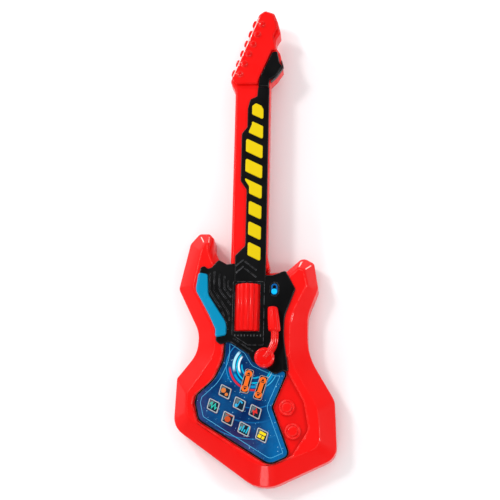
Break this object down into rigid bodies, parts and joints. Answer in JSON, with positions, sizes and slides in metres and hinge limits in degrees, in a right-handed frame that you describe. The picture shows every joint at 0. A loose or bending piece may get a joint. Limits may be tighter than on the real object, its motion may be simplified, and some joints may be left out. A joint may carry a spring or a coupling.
{
  "type": "toy electric guitar",
  "caption": "Glossy toy electric guitar with strum roller, tremolo arm, slanted sound keys, rockers, slide switch and raised fret pads.",
  "frame": {"origin": "middle of the outline, on the plane of the flat back", "axes": "+X to the right seen from the front, +Y along the neck towards the headstock, +Z out of the face"},
  "size_m": [0.202, 0.6295, 0.0601],
  "materials": {
    "red_shell": "glossy moulded",
    "red_control": "satin moulded",
    "black_trim": "satin moulded",
    "yellow_pad": "glossy moulded",
    "cyan_lens": "satin translucent",
    "sky_knob": "glossy moulded",
    "blue_panel": "glossy printed",
    "grey_key": "satin moulded with printed top",
    "orange_key": "satin moulded with printed top",
    "membrane": "matte",
    "circuit_board": "solder resist",
    "led_lens": "clear",
    "electronic_part": "moulded",
    "steel": "plated",
    "speaker_cone": "paper and steel",
    "inner_plastic": "moulded",
    "cell_wrap": "shrink wrap",
    "wire_sleeve": "PVC"
  },
  "bodies": {
    "chassis": {"body_rear_shell": "red_shell", "body_front_shell": "red_shell", "neck_rear_shell": "red_shell", "neck_front_shell": "red_shell", "fingerboard": "black_trim", "fret_pads": "yellow_pad", "headstock_cover": "red_shell", "headstock_accent": "black_trim", "face_plate": "black_trim", "light_bar_lens": "cyan_lens", "light_board": "circuit_board", "light_leds": "led_lens", "panel_bezel": "black_trim", "control_panel": "blue_panel", "key_membrane": "membrane", "main_board": "circuit_board", "board_parts": "electronic_part", "board_screws": "steel", "roller_axle": "steel", "roller_cradle": "inner_plastic", "roller_sensor": "electronic_part", "tremolo_spring": "steel", "switch_dish": "blue_panel", "switch_body": "electronic_part", "speaker": "speaker_cone", "speaker_clamp": "inner_plastic", "battery_box": "inner_plastic", "battery_cells": "cell_wrap", "battery_contacts": "steel", "case_screws": "steel", "neck_screws": "steel", "neck_brace": "inner_plastic", "brace_screws": "steel", "speaker_leads": "wire_sleeve", "battery_leads": "wire_sleeve"},
    "key_1": {"key_1": "grey_key"},
    "key_2": {"key_2": "grey_key"},
    "key_3": {"key_3": "grey_key"},
    "key_4": {"key_4": "grey_key"},
    "key_5": {"key_5": "grey_key"},
    "key_6": {"key_6": "grey_key"},
    "key_7": {"key_7": "grey_key"},
    "rocker_left": {"rocker_left": "orange_key"},
    "rocker_right": {"rocker_right": "orange_key"},
    "strum_roller": {"strum_roller": "red_control"},
    "tremolo": {"tremolo_arm": "red_control", "tremolo_grip": "red_control", "tremolo_washer": "steel", "tremolo_screw": "steel"},
    "switch_knob": {"switch_knob": "sky_knob"},
    "battery_door": {"battery_door": "red_shell", "door_screw": "steel"}
  },
  "joints": [
    {"name": "key_1_press", "type": "slide", "parent": "chassis", "child": "key_1", "axis": [0, 0, -1], "range_m": [0, 0.0012], "stiffness_N_per_m": 400},
    {"name": "key_2_press", "type": "slide", "parent": "chassis", "child": "key_2", "axis": [0, 0, -1], "range_m": [0, 0.0012], "stiffness_N_per_m": 400},
    {"name": "key_3_press", "type": "slide", "parent": "chassis", "child": "key_3", "axis": [0, 0, -1], "range_m": [0, 0.0012], "stiffness_N_per_m": 400},
    {"name": "key_4_press", "type": "slide", "parent": "chassis", "child": "key_4", "axis": [0, 0, -1], "range_m": [0, 0.0012], "stiffness_N_per_m": 400},
    {"name": "key_5_press", "type": "slide", "parent": "chassis", "child": "key_5", "axis": [0, 0, -1], "range_m": [0, 0.0012], "stiffness_N_per_m": 400},
    {"name": "key_6_press", "type": "slide", "parent": "chassis", "child": "key_6", "axis": [0, 0, -1], "range_m": [0, 0.0012], "stiffness_N_per_m": 400},
    {"name": "key_7_press", "type": "slide", "parent": "chassis", "child": "key_7", "axis": [0, 0, -1], "range_m": [0, 0.0012], "stiffness_N_per_m": 400},
    {"name": "rocker_left_tilt", "type": "hinge", "parent": "chassis", "child": "rocker_left", "pos_m": [-0.0098, -0.187, 0.0402], "axis": [0.9703, -0.2419, 0], "range_deg": [-4, 4], "stiffness_Nm_per_rad": 0.1},
    {"name": "rocker_right_tilt", "type": "hinge", "parent": "chassis", "child": "rocker_right", "pos_m": [0.0074, -0.195, 0.0402], "axis": [0.9563, -0.2924, 0], "range_deg": [-4, 4], "stiffness_Nm_per_rad": 0.1},
    {"name": "roller_spin", "type": "hinge", "parent": "chassis", "child": "strum_roller", "pos_m": [-0.0112, -0.0945, 0.037], "axis": [0, 1, 0], "continuous": true},
    {"name": "tremolo_swing", "type": "hinge", "parent": "chassis", "child": "tremolo", "pos_m": [0.012, -0.159, 0.045], "axis": [0, 0, 1], "range_deg": [-25, 8], "stiffness_Nm_per_rad": 0.05},
    {"name": "switch_slide", "type": "slide", "parent": "chassis", "child": "switch_knob", "axis": [0, 1, 0], "range_m": [0, 0.0065]},
    {"name": "door_lift", "type": "slide", "parent": "chassis", "child": "battery_door", "axis": [0, 0, -1], "range_m": [0, 0.02]}
  ]
}
